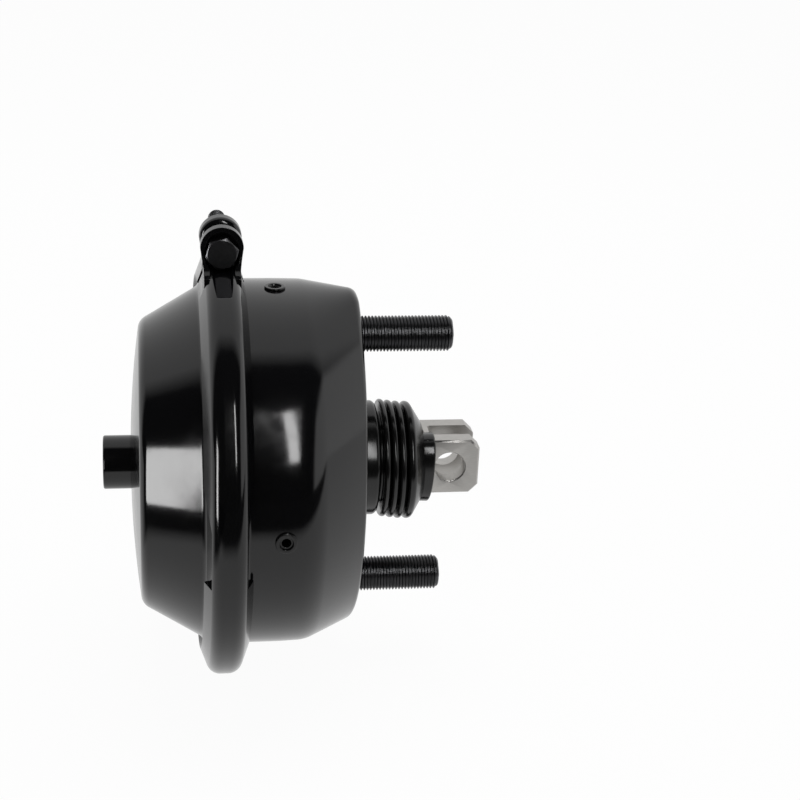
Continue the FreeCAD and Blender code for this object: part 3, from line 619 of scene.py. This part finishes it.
CLAMP_CORNER = 6.0
CLAMP_GAP = 6.0
TIP_INNER_R = BODY_R + 1.2
TIP_OUTER_R = TIP_INNER_R + CLAMP_WALL * V_SIN
TIP_ROUND = 0.35
RELIEF_LIFT = 7.45
RELIEF_START = 73.0
RELIEF_FULL = 84.0
RELIEF_END = 101.5
RELIEF_STEP = 0.9
BOLT_Z = CLAMP_R + 5.4
EAR_TOP_Z = BOLT_Z + 11.6
EAR_WIDTH = 18.4
EAR_WAIST = 15.8
EAR_WAIST_Z = 94.5
EAR_DEPTH = 6.8
EAR_RIM = 2.2
EAR_FLARE_R = 11.0
EAR_FOOT_R = 94.2
EAR_ROOT_Z = 86.3
EAR_BEND = 2.4
GROOVE_HALF = 3.2
GROOVE_TOP_Z = 93.2
GROOVE_END_Y = 33.2
GROOVE_END_Z = 89.35
GROOVE_RUN = 34.0
HEX_WIDTH = 13.0
HEX_PLAY = 0.17
BOLT_HOLE_R = 4.5
SEAT_Y = CLAMP_GAP / 2 + CLAMP_WALL


def relief_share(angle):
    """How far the flanges are cut back at an angle from the ears: 0 not at all, 1 in full."""
    a = angle if angle <= 180 else 360 - angle
    if a < RELIEF_FULL:
        return min(max((a - RELIEF_START) / (RELIEF_FULL - RELIEF_START), 0), 1)
    return min(max((RELIEF_END - a) / RELIEF_STEP, 0), 1)


tip_x = CLAMP_WEB_HALF + (CLAMP_R - TIP_OUTER_R) * V_LEAN
in_x = tip_x - CLAMP_WALL * V_COS
web_in_r = CLAMP_R - CLAMP_WALL
web_in_half = in_x - (web_in_r - TIP_INNER_R) * V_LEAN
outer_line = round_corners([(tip_x, TIP_OUTER_R), (CLAMP_WEB_HALF, CLAMP_R), (-CLAMP_WEB_HALF, CLAMP_R),
                            (-tip_x, TIP_OUTER_R)], [CLAMP_CORNER] * 2, steps=10)
inner_line = round_corners([(-in_x, TIP_INNER_R), (-web_in_half, web_in_r), (web_in_half, web_in_r),
                            (in_x, TIP_INNER_R)], [CLAMP_CORNER - CLAMP_WALL] * 2, steps=8)
tip_mid_x = (tip_x + in_x) / 2 + TIP_ROUND * V_SIN
tip_mid_r = (TIP_OUTER_R + TIP_INNER_R) / 2 - TIP_ROUND * V_COS
channel = [tuple(p) for p in outer_line] + [(-tip_mid_x, tip_mid_r)]
channel += [tuple(p) for p in inner_line] + [(tip_mid_x, tip_mid_r)]
last_outer = len(outer_line) - 1
tip_places = {0, last_outer, last_outer + 1, last_outer + 2, len(channel) - 2, len(channel) - 1}
gap_angle = degrees(atan2(CLAMP_GAP / 2, CLAMP_R))
half_angles = sorted([gap_angle, 100.7, 101.1, 101.4, 101.6] + [1.5 * i for i in range(2, 121)])
band_angles = half_angles + [360 - a for a in reversed(half_angles[:-1])]
corners = []
for angle in band_angles:
    a = radians(angle)
    lift = RELIEF_LIFT * relief_share(angle)
    for i, (x, r) in enumerate(channel):
        if i in tip_places:
            x -= lift * V_LEAN * (1 if x > 0 else -1)
            r += lift
        corners.append(((CLAMP_X + x) * MM, -r * sin(a) * MM, r * cos(a) * MM))
size = len(channel)
faces = []
for s in range(len(band_angles) - 1):
    for i in range(size):
        j = (i + 1) % size
        faces.append((s * size + i, s * size + j, (s + 1) * size + j, (s + 1) * size + i))
faces.append(tuple(range(size)))
faces.append(tuple(reversed(range(len(corners) - size, len(corners)))))
band = skin("clamp_band", corners, faces)
bpy.ops.object.mode_set(mode="EDIT")
finish_shape(band, 35)


def slab(name, outline, depth):
    """A plate made from a closed outline of places in mm, pulled out by depth."""
    piece = draw(name, outline, close=True)
    bpy.ops.mesh.edge_face_add()
    bpy.ops.mesh.extrude_region_move(TRANSFORM_OT_translate={"value": Vector(depth) * MM})
    finish_shape(piece)
    return piece


def combine(piece, tool, how):
    """Fuses, cuts or keeps what is common with another closed piece, which is used up."""
    pick(piece)
    step = piece.modifiers.new(how, "BOOLEAN")
    step.operation = how
    step.solver = "EXACT"
    step.object = tool
    bpy.ops.object.modifier_apply(modifier=step.name)
    bpy.data.objects.remove(tool)
    piece.select_set(False)


def soften(piece, width, segments, angle=40):
    """Rounds a pressed piece's edges a little."""
    pick(piece)
    edge_round = piece.modifiers.new("edges", "BEVEL")
    edge_round.width = width * MM
    edge_round.segments = segments
    edge_round.limit_method = "ANGLE"
    edge_round.angle_limit = radians(angle)
    bpy.ops.object.modifier_apply(modifier=edge_round.name)
    piece.select_set(False)


def mend(piece):
    """Closes what cuts and rounds leave behind: doubled corners and faces without area."""
    pick(piece)
    bpy.ops.object.mode_set(mode="EDIT")
    bpy.ops.mesh.select_all(action="SELECT")
    bpy.ops.mesh.remove_doubles(threshold=0.00001)
    bpy.ops.mesh.dissolve_degenerate(threshold=0.000002)
    bpy.ops.object.mode_set(mode="OBJECT")
    piece.select_set(False)


def arch(half_width, half_waist, top_z, y):
    """Outline of an upright plate with a round top and a narrower foot, at depth y."""
    line = [(CLAMP_X - half_waist, y, EAR_ROOT_Z), (CLAMP_X + half_waist, y, EAR_ROOT_Z),
            (CLAMP_X + half_waist, y, EAR_WAIST_Z)]
    for i in range(33):
        a = pi * i / 32
        line.append((CLAMP_X + half_width * cos(a), y, top_z - half_width + half_width * sin(a)))
    return line + [(CLAMP_X - half_waist, y, EAR_WAIST_Z)]


def flare_line(side):
    """Side outline of an ear: up the gap, down the rim, and out along the band in one sweep."""
    rim = CLAMP_GAP / 2 + EAR_DEPTH
    reach = rim + EAR_FLARE_R
    centre_z = sqrt((EAR_FOOT_R + EAR_FLARE_R) ** 2 - reach ** 2)
    sweep = pi / 2 - atan2(reach, centre_z)
    line = [(CLAMP_GAP / 2, EAR_TOP_Z + 1), (rim, EAR_TOP_Z + 1)]
    for i in range(17):
        a = sweep * i / 16
        line.append((reach - EAR_FLARE_R * cos(a), centre_z - EAR_FLARE_R * sin(a)))
    line += [(line[-1][0], EAR_ROOT_Z), (CLAMP_GAP / 2, EAR_ROOT_Z)]
    return [(CLAMP_X - EAR_WIDTH, side * y, z) for y, z in line]


def ear(side):
    """One dished ear, on the side of the gap that side gives. Its back edge is a round bend."""
    gap_y = side * CLAMP_GAP / 2
    piece = slab("ear", arch(EAR_WIDTH / 2, EAR_WAIST / 2, EAR_TOP_Z, gap_y), (0, side * 25, 0))
    pick(piece)
    bpy.ops.object.mode_set(mode="EDIT")
    bpy.ops.mesh.select_all(action="DESELECT")
    bpy.ops.object.mode_set(mode="OBJECT")
    for v in piece.data.vertices:
        v.select = abs(v.co.y - gap_y * MM) < 0.00001 and v.co.z > (EAR_ROOT_Z + 1) * MM
    bpy.ops.object.mode_set(mode="EDIT")
    bpy.ops.mesh.bevel(offset=EAR_BEND * MM, segments=6)
    bpy.ops.object.mode_set(mode="OBJECT")
    combine(piece, slab("flare", flare_line(side), (2 * EAR_WIDTH, 0, 0)), "INTERSECT")
    hollow = arch(EAR_WIDTH / 2 - EAR_RIM, EAR_WAIST / 2 - EAR_RIM - 0.4, EAR_TOP_Z - EAR_RIM,
                  side * SEAT_Y)
    combine(piece, slab("hollow", hollow, (0, side * 30, 0)), "DIFFERENCE")
    soften(piece, 0.9, 4)
    return piece


core_line = [(-in_x - 3, 60.0), (-in_x, TIP_INNER_R - 1), (-web_in_half, web_in_r),
             (web_in_half, web_in_r), (in_x, TIP_INNER_R - 1), (in_x + 3, 60.0)]
core_line = [(CLAMP_X + x, r) for x, r in core_line]
for side in (-1, 1):
    lug = ear(side)
    combine(lug, turned("core", core_line, 120, close=True), "DIFFERENCE")
    combine(band, lug, "UNION")
groove_rise = (GROOVE_TOP_Z - GROOVE_END_Z) / (GROOVE_END_Y - SEAT_Y)
for side in (-1, 1):
    groove = [(-GROOVE_HALF, GROOVE_TOP_Z), (GROOVE_HALF, GROOVE_TOP_Z),
              (GROOVE_HALF + 4.0, GROOVE_TOP_Z + 5.0), (-GROOVE_HALF - 4.0, GROOVE_TOP_Z + 5.0)]
    groove = [(CLAMP_X + x, side * SEAT_Y, z) for x, z in groove]
    combine(band, slab("groove", groove, (0, side * GROOVE_RUN, -GROOVE_RUN * groove_rise)), "DIFFERENCE")


def drill(piece, radius, middle_y, depth, sides):
    """Cuts a round hole across the clamp on the bolt's axis, sizes in mm."""
    bpy.ops.mesh.primitive_cylinder_add(vertices=sides, radius=radius * MM, depth=depth * MM,
                                        rotation=(pi / 2, 0, 0),
                                        location=(CLAMP_X * MM, middle_y * MM, BOLT_Z * MM))
    combine(piece, bpy.context.object, "DIFFERENCE")


for side in (-1, 1):
    drill(band, HEX_WIDTH / sqrt(3) + HEX_PLAY, side * (SEAT_Y + 5), 10, 48)
drill(band, BOLT_HOLE_R, 0, 50, 32)
mend(band)
shade_evenly(band, 35)
dress(band, gloss_black, "housing_paint", "chamber", "clamp_ring")

# Clamp bolt and nut: M8, hex, blackened steel. The head sits in the near ear's
# dish, and the thread stands out past the nut in the far ear.

HEAD_HEIGHT = 5.3
NUT_HEIGHT = 6.5
HEX_TURN = 14.0
BOLT_R = 3.95
BOLT_LENGTH = 48.5
BOLT_ROOT_R = 3.3
BOLT_PITCH = 1.25
THREAD_START = 12.0


def hex_block(name, height):
    """A forged hexagon with its corners turned off at both ends, lying along X from 0."""
    bpy.ops.object.select_all(action="DESELECT")
    bpy.ops.mesh.primitive_cylinder_add(vertices=6, radius=HEX_WIDTH / sqrt(3) * MM, depth=height * MM,
                                        location=(height / 2 * MM, 0, 0),
                                        rotation=(0, pi / 2, 0))
    piece = bpy.context.object
    piece.name = name
    bpy.ops.object.transform_apply(location=True, rotation=True, scale=True)
    crown = turned(name + "_crown", [(0, 0), (0, 6.4), (0.75, 7.7),
                                     (height - 0.75, 7.7), (height, 6.1), (height, 0)], 64)
    combine(piece, crown, "INTERSECT")
    mend(piece)
    soften(piece, 0.22, 2, 50)
    mend(piece)
    return piece


def stand_across(piece, side, y):
    """Turns a piece made along X to lie across the clamp, with its outer end on the given side."""
    piece.data.transform(Matrix.Rotation(radians(HEX_TURN), 4, "X"))
    piece.data.transform(Matrix.Rotation(side * pi / 2, 4, "Z"))
    piece.data.transform(Matrix.Translation((CLAMP_X * MM, y * MM, BOLT_Z * MM)))


bolt = hex_block("clamp_bolt_forged", HEAD_HEIGHT)
shank = screw_thread("bolt_thread", THREAD_START, BOLT_LENGTH, BOLT_ROOT_R, BOLT_R, BOLT_PITCH, 40)
trim(THREAD_START, True, True)
trim(BOLT_LENGTH, False, True)
finish_shape(shank, 30)
narrow_tip(shank, BOLT_LENGTH, 1.0, BOLT_R, 3.1)
plain = turned("bolt_plain", [(-0.3, 0), (-0.3, BOLT_R), (11.6, BOLT_R), (12.2, 3.4), (12.2, 0)], 40)
join_into(shank, plain)
shank.data.transform(Matrix.Rotation(pi, 4, "Z"))
join_into(bolt, shank)
stand_across(bolt, -1, -SEAT_Y)
shade(bolt, 25)
dress(bolt, blackened_steel, "bolt_steel", "chamber", "clamp_bolt")

nut = hex_block("clamp_nut_forged", NUT_HEIGHT)
combine(nut, turned("nut_bore", [(-1, 0), (-1, 4.9), (0.9, 4.05), (NUT_HEIGHT - 0.9, 4.05),
                                 (NUT_HEIGHT + 1, 4.9), (NUT_HEIGHT + 1, 0)], 40), "DIFFERENCE")
stand_across(nut, 1, SEAT_Y)
shade(nut, 25)
dress(nut, blackened_steel, "bolt_steel", "chamber", "clamp_nut")

# Breather plugs: four small moulded plugs pressed into the housing wall, each a
# low ring with an open middle.

PLUG_R = 4.6
PLUG_RISE = 1.05

vent_plastic = coated("vent plastic", (0.006, 0.006, 0.006), 0.20, 500.0, 0.00001, 0.15)
plug_line = round_corners([(-6.0, 2.0), (-6.0, 3.3), (0.06, 3.3), (0.06, PLUG_R), (PLUG_RISE, PLUG_R),
                           (PLUG_RISE, 3.0), (0.2, 2.6), (0.2, 2.0), (-6.0, 2.0)],
                          [0, 0, 0.1, 0.45, 0.3, 0.1, 0.1])[:-1]
plug_master = turned("breather_plug", plug_line, 40, close=True)
for i in range(4):
    plug = plug_master if i == 3 else plug_master.copy()
    if i < 3:
        plug.data = plug_master.data.copy()
        bpy.context.scene.collection.objects.link(plug)
    plug.name = "breather_plug_%d_moulded" % (i + 1)
    plug.data.transform(Matrix.Translation((BODY_R * MM, 0, 0)))
    plug.data.transform(Matrix.Rotation(-pi / 2, 4, "Y"))
    plug.data.transform(Matrix.Translation((VENT_X * MM, 0, 0)))
    plug.data.transform(Matrix.Rotation(pi / 2 * i, 4, "X"))
    dress(plug, vent_plastic, "vent_plastic", "chamber", "breather_plug_%d" % (i + 1))

# Rubber bellows: a moulded boot with a plain cuff, three narrow folds and a wide
# one that runs down to the neck. It sags a little, and its lip hangs on the fork.

BOOT_BACK = (-4.8, 17.0)
CUFF_R = 26.1
CREST_R = 26.9
VALLEY_R = 21.2
NARROW_FOLDS = 3
FOLD_PITCH = 3.65
NECK_END_X = 31.2
NECK_R = 12.4
BOOT_SAG = 1.5

boot_places = [BOOT_BACK, (-4.8, 23.6), (-3.4, 23.6), (-3.4, 19.6), (-0.05, 19.6), (-0.05, CUFF_R),
               (10.1, CUFF_R), (10.4, VALLEY_R), (11.8, VALLEY_R)]
boot_radii = [0.5, 0.5, 0.5, 0.4, 0.7, 2.3, 0.5]
fold_x = 11.4
for _ in range(NARROW_FOLDS):
    boot_places += [(fold_x + 0.35, CREST_R), (fold_x + 2.9, CREST_R),
                    (fold_x + 3.2, VALLEY_R), (fold_x + FOLD_PITCH, VALLEY_R)]
    boot_radii += [0.4, 1.25, 1.25, 0.3]
    fold_x += FOLD_PITCH
boot_places[-1] = (fold_x + 0.1, VALLEY_R)
boot_places += [(fold_x + 0.5, CREST_R), (fold_x + 3.4, CREST_R), (NECK_END_X, 17.9), (NECK_END_X, NECK_R),
                (29.6, NECK_R), (27.0, 17.2), BOOT_BACK]
boot_radii += [0.3, 1.6, 2.2, 1.2, 0.5, 0.8, 1.5]
boot_line = round_corners(boot_places, boot_radii, 40)[:-1]
boot = turned("bellows_moulded", boot_line, 144, close=True, angle=60)
for v in boot.data.vertices:
    sag = min(max((v.co.x / MM - 9.0) / 14.0, 0), 1)
    v.co.z -= BOOT_SAG * MM * sag * sag * (3 - 2 * sag)
dress(boot, rubber, "bellows_rubber", None, "bellows")
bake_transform(boot)

LIP_X = 30.4
LIP_END_X = 35.4
LIP_BORE_R = 13.8
LIP_R = 15.6
LIP_SINK = Vector((0, -1.3, -4.8))
LIP_BULGE = 4.9
LIP_BULGE_ANGLE = radians(122)
LIP_TILT = 0.9

lip_line = round_corners([(LIP_X, LIP_BORE_R), (LIP_X, LIP_R), (LIP_END_X, LIP_R + 0.2),
                          (LIP_END_X, LIP_BORE_R), (LIP_X, LIP_BORE_R)], [0.4, 0.8, 0.6])[:-1]
lip = turned("bellows_lip", lip_line, 144, close=True, angle=50)
for v in lip.data.vertices:
    around = atan2(v.co.z, v.co.y)
    off = (around - LIP_BULGE_ANGLE + pi) % (2 * pi) - pi
    bulge = 1 + LIP_BULGE / LIP_R * exp(-(off / 0.55) ** 2)
    tilt = (v.co.x / MM - LIP_X) / (LIP_END_X - LIP_X)
    v.co.y = v.co.y * bulge + LIP_SINK.y * MM
    v.co.z = v.co.z * bulge + LIP_SINK.z * MM
    v.co.x += LIP_TILT * MM * sin(around) * tilt
dress(lip, rubber, "bellows_rubber", "rod")

# Clevis: a fork milled from a steel bar, with a cross hole, welded on the rod.
# Fine cutter marks run along its faces.

milled_steel = steel("milled steel", (0.60, 0.585, 0.56), 0.36, 1.0, 420.0, 0.00003, (1, 1, 7))
fork = welded_copy("clevis", 25)
dress(fork, milled_steel, "machined_steel", "rod", "clevis")

# Studio: soft boxes of plain white light round the chamber, a white surround
# behind it, and the camera, which looks down on the chamber's side.


def soft_box(name, place, aim, size_x, size_y, watts, mirrored):
    """A lamp behind a white sheet. One that is mirrored shows only in the gloss."""
    light = bpy.data.lights.new(name, "AREA")
    light.shape = "RECTANGLE"
    light.size = size_x
    light.size_y = size_y
    light.energy = watts
    lamp = bpy.data.objects.new(name, light)
    lamp.location = place
    lamp.rotation_euler = (Vector(aim) - Vector(place)).to_track_quat("-Z", "Y").to_euler()
    lamp.visible_camera = False
    lamp.visible_glossy = mirrored
    lamp.visible_diffuse = not mirrored
    bpy.context.scene.collection.objects.link(lamp)


soft_box("overhead", (0.1, 0.3, 1.3), (0, 0, 0), 1.2, 0.9, 14, False)
soft_box("left_box", (-0.456, -0.257, 0.045), (-0.085, -0.065, 0.03), 0.10, 0.25, 0.95, True)
soft_box("front_strip", (0.139, -0.767, 0.587), (-0.035, -0.07, 0.045), 0.11, 0.52, 2.1, True)

SURROUND_TILT = (0.02, 1.0, 0.33)
SURROUND_DARK = 0.025
AMBIENT_STRENGTH = 0.45

world = bpy.data.worlds.new("studio")
bpy.context.scene.world = world
world.use_nodes = True
n, k = world.node_tree.nodes, world.node_tree.links
n.clear()
path = n.new("ShaderNodeLightPath")
direction = n.new("ShaderNodeTexCoord")
split = n.new("ShaderNodeSeparateXYZ")
k.new(direction.outputs["Generated"], split.inputs[0])
tilted = n.new("ShaderNodeVectorMath")
tilted.operation = "DOT_PRODUCT"
tilted.inputs[1].default_value = SURROUND_TILT
k.new(direction.outputs["Generated"], tilted.inputs[0])
behind = ramp(n, k, tilted.outputs["Value"], 0.21, 0.41, SURROUND_DARK)
far_right = ramp(n, k, split.outputs["X"], 0.72, 0.80, 0.0, 1.3)
below_top = ramp(n, k, split.outputs["Z"], 0.60, 0.48)
at_right = math_node(n, k, "MULTIPLY", far_right, below_top)
ambient = n.new("ShaderNodeBackground")
ambient.inputs["Strength"].default_value = AMBIENT_STRENGTH
mirrored_white = n.new("ShaderNodeBackground")
k.new(math_node(n, k, "MAXIMUM", behind, at_right), mirrored_white.inputs["Strength"])
camera_white = n.new("ShaderNodeBackground")
camera_white.inputs["Color"].default_value = (1, 1, 1, 1)
first = n.new("ShaderNodeMixShader")
second = n.new("ShaderNodeMixShader")
k.new(path.outputs["Is Glossy Ray"], first.inputs[0])
k.new(ambient.outputs[0], first.inputs[1])
k.new(mirrored_white.outputs[0], first.inputs[2])
k.new(path.outputs["Is Camera Ray"], second.inputs[0])
k.new(first.outputs[0], second.inputs[1])
k.new(camera_white.outputs[0], second.inputs[2])
out = n.new("ShaderNodeOutputWorld")
k.new(second.outputs[0], out.inputs["Surface"])

CAMERA_PLACE = Vector((-0.0936, -0.7007, 0.3265))
CAMERA_TURN = radians(-9.30)
CAMERA_HEIGHT = radians(22.73)
CAMERA_ROLL = radians(2.81)
PHOTO_SIZE = 800
PHOTO_CENTRE = (400.5, 398.1)
FOCAL_PIXELS = 1702.7
SENSOR_WIDTH = 36

back = Vector((sin(CAMERA_TURN) * cos(CAMERA_HEIGHT),
               -cos(CAMERA_TURN) * cos(CAMERA_HEIGHT),
               sin(CAMERA_HEIGHT)))
level = Vector((cos(CAMERA_TURN), sin(CAMERA_TURN), 0))
up = back.cross(level)
camera_right = level * cos(CAMERA_ROLL) + up * sin(CAMERA_ROLL)
camera_up = up * cos(CAMERA_ROLL) - level * sin(CAMERA_ROLL)
camera_data = bpy.data.cameras.new("photo_camera")
camera_data.sensor_width = SENSOR_WIDTH
camera_data.lens = FOCAL_PIXELS / PHOTO_SIZE * SENSOR_WIDTH
camera_data.shift_x = (PHOTO_SIZE / 2 - PHOTO_CENTRE[0]) / PHOTO_SIZE
camera_data.shift_y = (PHOTO_CENTRE[1] - PHOTO_SIZE / 2) / PHOTO_SIZE
camera_data.clip_start = 0.01
camera = bpy.data.objects.new("photo_camera", camera_data)
bpy.context.scene.collection.objects.link(camera)
camera_frame = Matrix((camera_right, camera_up, back)).transposed().to_4x4()
camera_frame.translation = CAMERA_PLACE
camera.matrix_world = camera_frame
bpy.context.scene.camera = camera
bpy.context.scene.view_settings.view_transform = "Standard"
